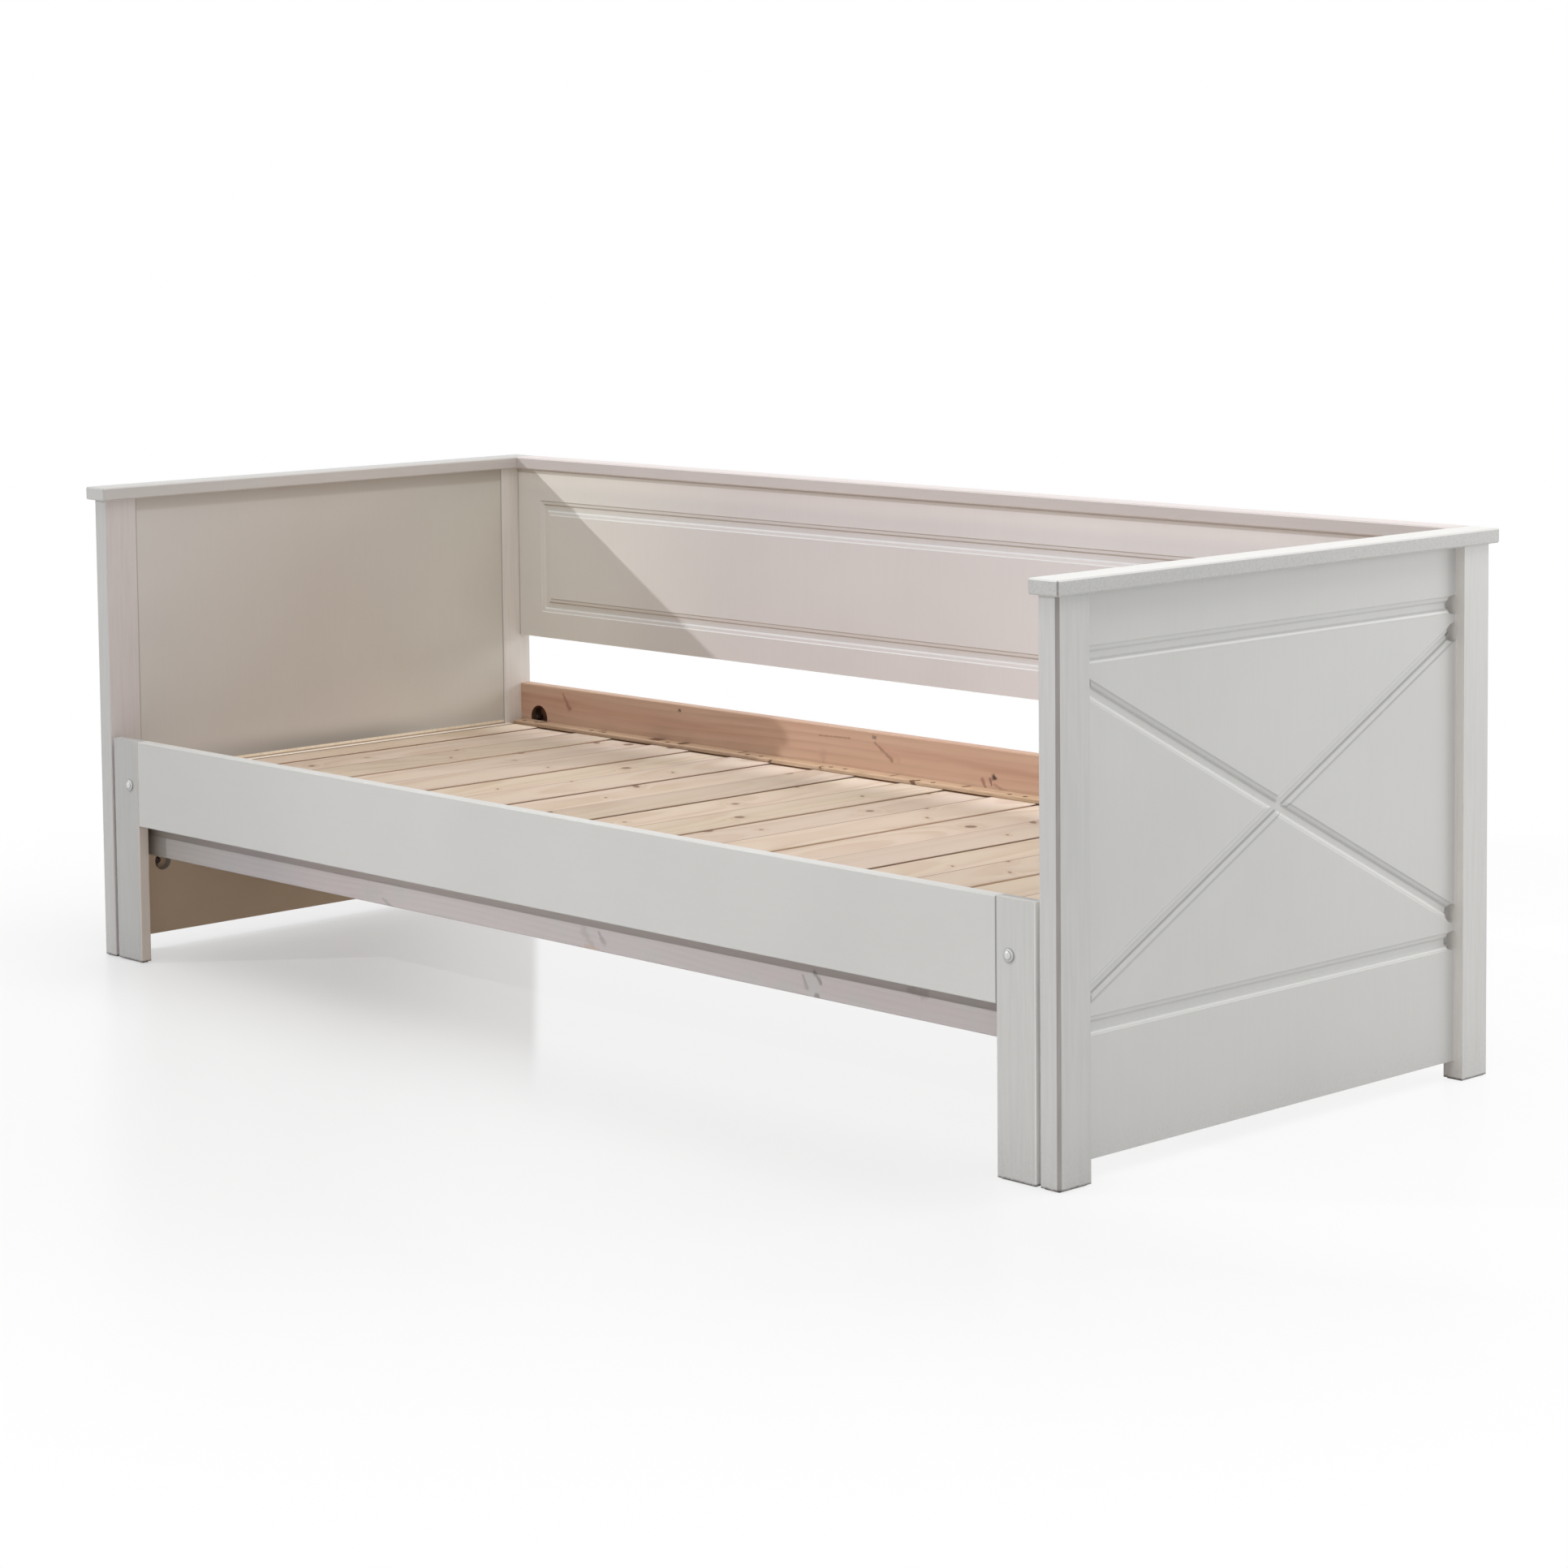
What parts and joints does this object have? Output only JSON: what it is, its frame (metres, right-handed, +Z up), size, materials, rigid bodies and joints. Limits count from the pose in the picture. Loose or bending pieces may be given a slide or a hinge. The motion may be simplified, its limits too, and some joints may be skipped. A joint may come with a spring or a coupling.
{
  "type": "trundle bed",
  "caption": "Daybed with moulded end and back panels; the front rail on legs pulls out with every second slat to double the lying width.",
  "frame": {"origin": "on the floor under the middle of the bed, centred on its length and depth over the caps", "axes": "+X along the bed towards the right-hand end seen from the front, -Y towards the open front, +Z up"},
  "size_m": [2.078, 0.878, 0.748],
  "materials": {
    "painted_wood": "satin off-white paint, solid colour over wood and board",
    "raw_pine": "bare knotty pine, planed",
    "whitewashed_pine": "thin white wash over knotty pine",
    "slat_pine": "bare pale pine slats, planed, small knots",
    "steel": "zinc plated",
    "white_enamel": "white lacquered bolt heads",
    "glide_plastic": "dark hard plastic pads"
  },
  "bodies": {
    "daybed": {"left_front_post": "painted_wood", "right_front_post": "painted_wood", "left_rear_post": "painted_wood", "right_rear_post": "painted_wood", "left_end_panel": "painted_wood", "right_end_panel": "painted_wood", "left_end_cap": "painted_wood", "right_end_cap": "painted_wood", "back_cap": "painted_wood", "back_panel": "painted_wood", "back_rail": "raw_pine", "inner_front_rail": "whitewashed_pine", "rear_slat_cleat": "raw_pine", "slat_hold_down_strip": "raw_pine", "fixed_slats": "slat_pine", "end_slats": "slat_pine", "side_strips": "slat_pine", "hold_down_screws": "steel", "connector_studs": "steel", "crescent_washers": "steel", "connector_nuts": "steel", "frame_dowels": "raw_pine", "cap_dowels": "raw_pine", "post_glides": "glide_plastic"},
    "pull_out": {"front_rail": "painted_wood", "left_leg": "painted_wood", "right_leg": "painted_wood", "front_slat_cleat": "raw_pine", "moving_slats": "slat_pine", "stop_batten": "raw_pine", "leg_bolts": "white_enamel", "leg_nuts": "steel", "leg_glides": "glide_plastic"}
  },
  "joints": [
    {"name": "pull_out_slide", "type": "slide", "parent": "daybed", "child": "pull_out", "axis": [0, -1, 0], "range_m": [0, 0.73]}
  ]
}
